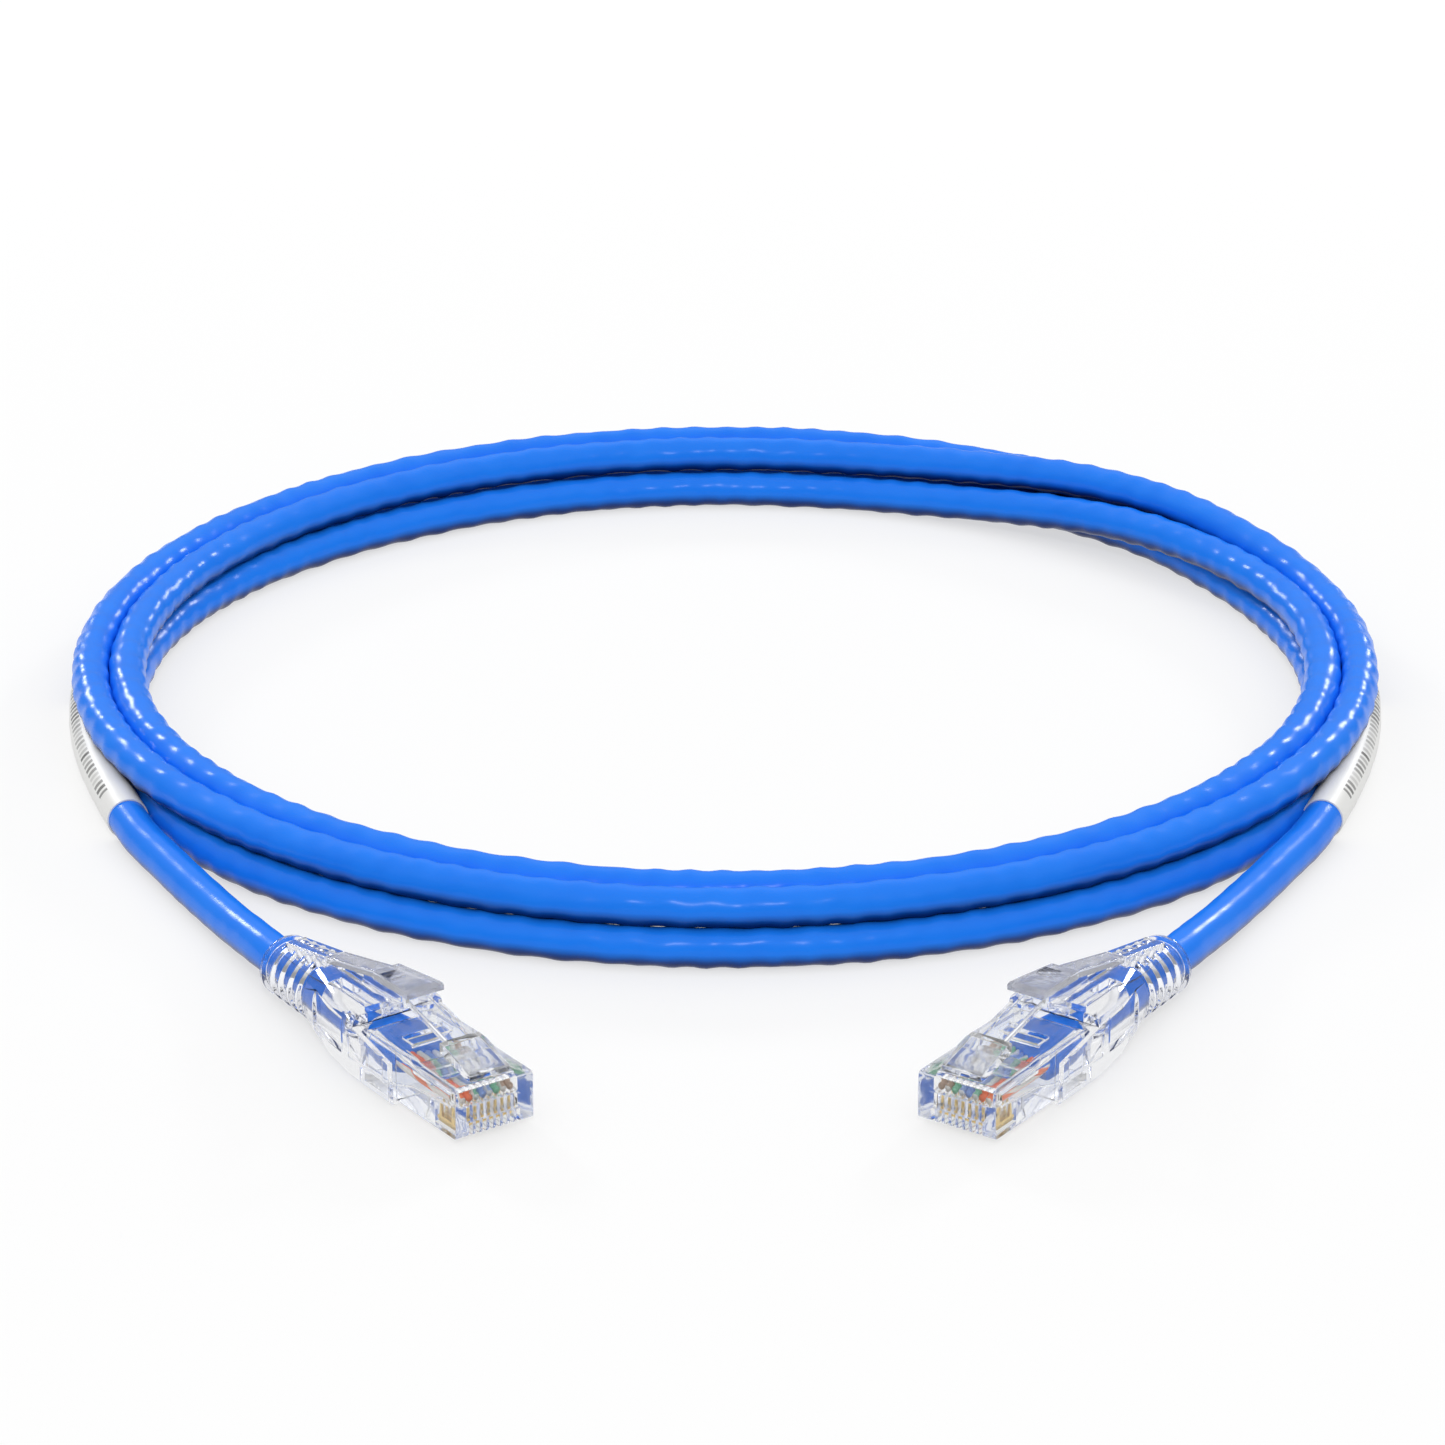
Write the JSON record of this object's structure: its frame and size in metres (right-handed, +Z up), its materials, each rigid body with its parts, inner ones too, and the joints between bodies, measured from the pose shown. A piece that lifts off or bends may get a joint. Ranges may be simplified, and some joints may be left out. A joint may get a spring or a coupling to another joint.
{
  "type": "ethernet patch cable",
  "caption": "Coiled blue twisted-pair network patch lead with a clear latching modular plug, a clear snagless boot and a white label sleeve at each end.",
  "frame": {"origin": "on the table plane, midway between the two plug ends (bottom centre of the box round both plug and boot assemblies)", "axes": "+X from the left plug to the right plug, +Y back towards the coil, +Z up from the table"},
  "size_m": [0.2018, 0.2528, 0.0144],
  "materials": {
    "cable_jacket": "glossy blue PVC",
    "clear_plug": "polished clear polycarbonate",
    "clear_boot": "moulded clear soft PVC",
    "gold_contact": "gold-plated phosphor bronze",
    "label_sleeve": null,
    "insulation_white_orange": "polyolefin wire insulation",
    "insulation_orange": "polyolefin wire insulation",
    "insulation_white_green": "polyolefin wire insulation",
    "insulation_blue": "polyolefin wire insulation",
    "insulation_white_blue": "polyolefin wire insulation",
    "insulation_green": "polyolefin wire insulation",
    "insulation_white_brown": "polyolefin wire insulation",
    "insulation_brown": "polyolefin wire insulation"
  },
  "bodies": {
    "root": {"cable_coil": "cable_jacket", "cable_tail_a": "cable_jacket", "label_sleeve_a": "label_sleeve", "jacket_end_a": "cable_jacket", "plug_housing_a": "clear_plug", "boot_a": "clear_boot", "wire_guide_a": "clear_plug", "strain_relief_bar_a": "clear_plug", "contact_a1": "gold_contact", "contact_a2": "gold_contact", "contact_a3": "gold_contact", "contact_a4": "gold_contact", "contact_a5": "gold_contact", "contact_a6": "gold_contact", "contact_a7": "gold_contact", "contact_a8": "gold_contact", "wire_a1": "insulation_white_orange", "wire_a2": "insulation_orange", "wire_a3": "insulation_white_green", "wire_a4": "insulation_blue", "wire_a5": "insulation_white_blue", "wire_a6": "insulation_green", "wire_a7": "insulation_white_brown", "wire_a8": "insulation_brown", "cable_tail_b": "cable_jacket", "label_sleeve_b": "label_sleeve", "jacket_end_b": "cable_jacket", "plug_housing_b": "clear_plug", "boot_b": "clear_boot", "wire_guide_b": "clear_plug", "strain_relief_bar_b": "clear_plug", "contact_b1": "gold_contact", "contact_b2": "gold_contact", "contact_b3": "gold_contact", "contact_b4": "gold_contact", "contact_b5": "gold_contact", "contact_b6": "gold_contact", "contact_b7": "gold_contact", "contact_b8": "gold_contact", "wire_b1": "insulation_brown", "wire_b2": "insulation_white_brown", "wire_b3": "insulation_green", "wire_b4": "insulation_white_blue", "wire_b5": "insulation_blue", "wire_b6": "insulation_white_green", "wire_b7": "insulation_orange", "wire_b8": "insulation_white_orange"},
    "latch_a": {"latch_a": "clear_plug"},
    "boot_tongue_a": {"boot_tongue_a": "clear_boot"},
    "latch_b": {"latch_b": "clear_plug"},
    "boot_tongue_b": {"boot_tongue_b": "clear_boot"}
  },
  "joints": [
    {"name": "boot_tongue_a_press", "type": "hinge", "parent": "root", "child": "boot_tongue_a", "pos_m": [-0.05122, 0.0109, 0.0103], "axis": [0.8192, 0.5736, 0], "range_deg": [0, 6.8], "stiffness_Nm_per_rad": 0.01},
    {"name": "latch_a_press", "type": "hinge", "parent": "root", "child": "latch_a", "pos_m": [-0.03006, -0.01932, 0.0081], "axis": [-0.8192, -0.5736, 0], "range_deg": [0, 9], "stiffness_Nm_per_rad": 0.01},
    {"name": "boot_tongue_b_press", "type": "hinge", "parent": "root", "child": "boot_tongue_b", "pos_m": [0.05122, 0.0109, 0.0103], "axis": [0.8192, -0.5736, 0], "range_deg": [0, 6.8], "stiffness_Nm_per_rad": 0.01},
    {"name": "latch_b_press", "type": "hinge", "parent": "root", "child": "latch_b", "pos_m": [0.03006, -0.01932, 0.0081], "axis": [-0.8192, 0.5736, 0], "range_deg": [0, 9], "stiffness_Nm_per_rad": 0.01}
  ],
  "couplings": [
    {"joint": "latch_a_press", "follows": "boot_tongue_a_press", "ratio": 1.3},
    {"joint": "latch_b_press", "follows": "boot_tongue_b_press", "ratio": 1.3}
  ]
}
